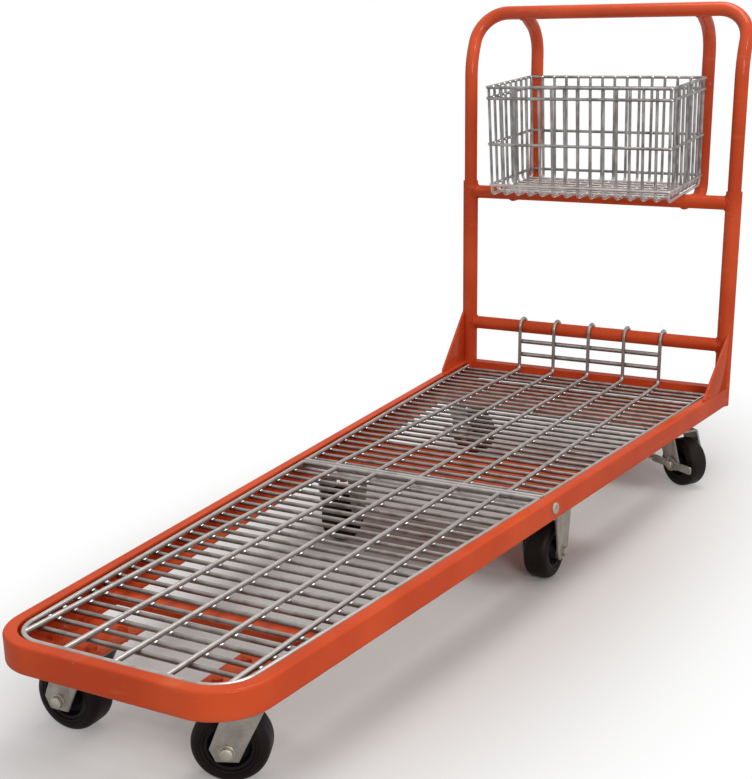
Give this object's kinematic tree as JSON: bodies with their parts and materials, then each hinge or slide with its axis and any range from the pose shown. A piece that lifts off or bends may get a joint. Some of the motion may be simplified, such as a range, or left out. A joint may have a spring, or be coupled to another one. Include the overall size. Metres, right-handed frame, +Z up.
{
  "type": "flat cart",
  "caption": "Flat cart with a tapered wire deck in a channel frame, a tall handle hoop that carries a wire basket, and small casters at the front, middle and rear.",
  "frame": {"origin": "on the floor, under the middle of the cart's length and on its centreline", "axes": "+Z up, +Y rearward towards the handle, +X across the cart to the side that faces the picture's camera"},
  "size_m": [0.6509, 1.81, 0.9803],
  "materials": {
    "orange_paint": "semi-gloss orange paint",
    "zinc_wire": "zinc-plated wire",
    "zinc_caster": "dull zinc plate",
    "fastener": "zinc-plated steel",
    "tyre": "black rubber",
    "hub": "black moulded centre"
  },
  "bodies": {
    "frame": {"axle_mid_left": "zinc_caster", "axle_mid_right": "zinc_caster", "basket_back": "zinc_wire", "basket_floor": "zinc_wire", "basket_front": "zinc_wire", "basket_left": "zinc_wire", "basket_right": "zinc_wire", "brace_left": "orange_paint", "brace_right": "orange_paint", "caster_bolts": "fastener", "caster_plate_front_left": "orange_paint", "caster_plate_front_right": "orange_paint", "front_cross_member": "orange_paint", "front_deck_panel": "zinc_wire", "front_rail": "orange_paint", "gusset_left": "orange_paint", "gusset_right": "orange_paint", "handle_hoop": "orange_paint", "kingpins": "fastener", "lower_crossbar": "orange_paint", "mid_cross_plate": "orange_paint", "mid_crossbar": "orange_paint", "panel_support_bar": "zinc_wire", "post_left": "orange_paint", "post_right": "orange_paint", "rail_bolts": "fastener", "rear_cross_plate": "orange_paint", "rear_cross_rail": "orange_paint", "rigid_fork_left": "zinc_caster", "rigid_fork_right": "zinc_caster", "side_rail_left": "orange_paint", "side_rail_right": "orange_paint", "swivel_plate_front_left": "zinc_caster", "swivel_plate_front_right": "zinc_caster", "swivel_plate_rear_left": "zinc_caster", "swivel_plate_rear_right": "zinc_caster"},
    "rear_panel": {"rear_deck_panel": "zinc_wire", "backstop": "zinc_wire"},
    "wheel_front_left": {"hub_front_left": "hub", "tyre_front_left": "tyre"},
    "swivel_front_left": {"fork_front_left": "zinc_caster", "axle_front_left": "zinc_caster"},
    "wheel_front_right": {"hub_front_right": "hub", "tyre_front_right": "tyre"},
    "swivel_front_right": {"fork_front_right": "zinc_caster", "axle_front_right": "zinc_caster"},
    "wheel_mid_left": {"hub_mid_left": "hub", "tyre_mid_left": "tyre"},
    "wheel_mid_right": {"hub_mid_right": "hub", "tyre_mid_right": "tyre"},
    "wheel_rear_left": {"hub_rear_left": "hub", "tyre_rear_left": "tyre"},
    "swivel_rear_left": {"fork_rear_left": "zinc_caster", "axle_rear_left": "zinc_caster"},
    "brake_rear_left": {"brake_lever_rear_left": "zinc_caster"},
    "wheel_rear_right": {"hub_rear_right": "hub", "tyre_rear_right": "tyre"},
    "swivel_rear_right": {"fork_rear_right": "zinc_caster", "axle_rear_right": "zinc_caster"},
    "brake_rear_right": {"brake_lever_rear_right": "zinc_caster"}
  },
  "joints": [
    {"name": "rear_panel_lift", "type": "hinge", "parent": "frame", "child": "rear_panel", "pos_m": [0, 0.7615, 0.2708], "axis": [-1, 0, 0], "range_deg": [0, 80]},
    {"name": "swivel_front_left", "type": "hinge", "parent": "frame", "child": "swivel_front_left", "pos_m": [-0.13148, -0.778, 0.12], "axis": [0, 0, 1], "continuous": true},
    {"name": "spin_front_left", "type": "hinge", "parent": "swivel_front_left", "child": "wheel_front_left", "pos_m": [-0.16197, -0.77906, 0.0508], "axis": [-0.0349, 0.9994, 0], "continuous": true},
    {"name": "swivel_front_right", "type": "hinge", "parent": "frame", "child": "swivel_front_right", "pos_m": [0.13148, -0.778, 0.12], "axis": [0, 0, 1], "continuous": true},
    {"name": "spin_front_right", "type": "hinge", "parent": "swivel_front_right", "child": "wheel_front_right", "pos_m": [0.10362, -0.79041, 0.0508], "axis": [-0.4067, 0.9135, 0], "continuous": true},
    {"name": "spin_mid_left", "type": "hinge", "parent": "frame", "child": "wheel_mid_left", "pos_m": [-0.20394, -0.005, 0.0508], "axis": [1, 0, 0], "continuous": true},
    {"name": "spin_mid_right", "type": "hinge", "parent": "frame", "child": "wheel_mid_right", "pos_m": [0.20394, -0.005, 0.0508], "axis": [1, 0, 0], "continuous": true},
    {"name": "swivel_rear_left", "type": "hinge", "parent": "frame", "child": "swivel_rear_left", "pos_m": [-0.2515, 0.611, 0.12], "axis": [0, 0, 1], "continuous": true},
    {"name": "spin_rear_left", "type": "hinge", "parent": "swivel_rear_left", "child": "wheel_rear_left", "pos_m": [-0.22147, 0.6057, 0.0508], "axis": [-0.1736, -0.9848, 0], "continuous": true},
    {"name": "brake_rear_left", "type": "hinge", "parent": "swivel_rear_left", "child": "brake_rear_left", "pos_m": [-0.22147, 0.6057, 0.0508], "axis": [-0.1736, -0.9848, 0], "range_deg": [-12, 12]},
    {"name": "swivel_rear_right", "type": "hinge", "parent": "frame", "child": "swivel_rear_right", "pos_m": [0.2515, 0.611, 0.12], "axis": [0, 0, 1], "continuous": true},
    {"name": "spin_rear_right", "type": "hinge", "parent": "swivel_rear_right", "child": "wheel_rear_right", "pos_m": [0.27737, 0.59484, 0.0508], "axis": [-0.5299, -0.848, 0], "continuous": true},
    {"name": "brake_rear_right", "type": "hinge", "parent": "swivel_rear_right", "child": "brake_rear_right", "pos_m": [0.27737, 0.59484, 0.0508], "axis": [-0.5299, -0.848, 0], "range_deg": [-12, 12]}
  ]
}
